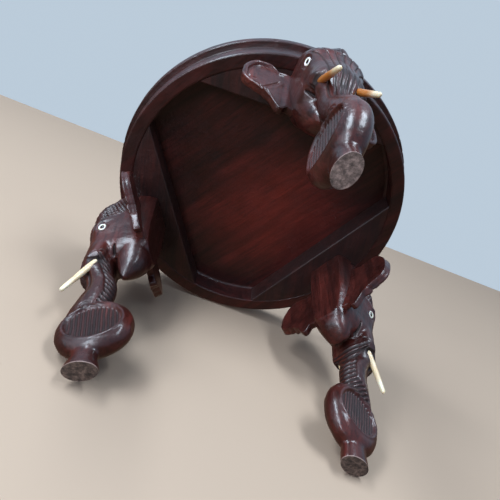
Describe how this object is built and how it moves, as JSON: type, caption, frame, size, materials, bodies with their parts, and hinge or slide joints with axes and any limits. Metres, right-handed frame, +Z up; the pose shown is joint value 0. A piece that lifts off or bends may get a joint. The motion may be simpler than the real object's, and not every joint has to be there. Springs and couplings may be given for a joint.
{
  "type": "carved elephant stool",
  "caption": "Low round stool with a turned, hollowed hardwood seat on legs carved as elephants' heads with coiled trunks, let-in ears, tusks and inlaid eyes.",
  "frame": {"origin": "middle of the whole stool's footprint, on the floor it stands on", "axes": "+Z up through the seat; -Y towards the front leg's trunk; +X to the right as seen from the front leg"},
  "size_m": [0.307, 0.3312, 0.275],
  "materials": {
    "dark_wood": "polished dark reddish-brown hardwood, worn pale on the soles",
    "bone": "cream bone or ivory-like inlay with an amber root",
    "black_inlay": "black polished inlay"
  },
  "bodies": {
    "root": {"seat": "dark_wood", "corner_block_front": "dark_wood", "leg_front": "dark_wood", "dowel_front_inner": "dark_wood", "dowel_front_outer": "dark_wood", "ear_front_left": "dark_wood", "tusk_front_left": "bone", "eye_ring_front_left": "bone", "pupil_front_left": "black_inlay", "ear_front_right": "dark_wood", "tusk_front_right": "bone", "eye_ring_front_right": "bone", "pupil_front_right": "black_inlay", "corner_block_right": "dark_wood", "leg_right": "dark_wood", "dowel_right_inner": "dark_wood", "dowel_right_outer": "dark_wood", "ear_right_left": "dark_wood", "tusk_right_left": "bone", "eye_ring_right_left": "bone", "pupil_right_left": "black_inlay", "ear_right_right": "dark_wood", "tusk_right_right": "bone", "eye_ring_right_right": "bone", "pupil_right_right": "black_inlay", "corner_block_left": "dark_wood", "leg_left": "dark_wood", "dowel_left_inner": "dark_wood", "dowel_left_outer": "dark_wood", "ear_left_left": "dark_wood", "tusk_left_left": "bone", "eye_ring_left_left": "bone", "pupil_left_left": "black_inlay", "ear_left_right": "dark_wood", "tusk_left_right": "bone", "eye_ring_left_right": "bone", "pupil_left_right": "black_inlay"}
  },
  "joints": []
}
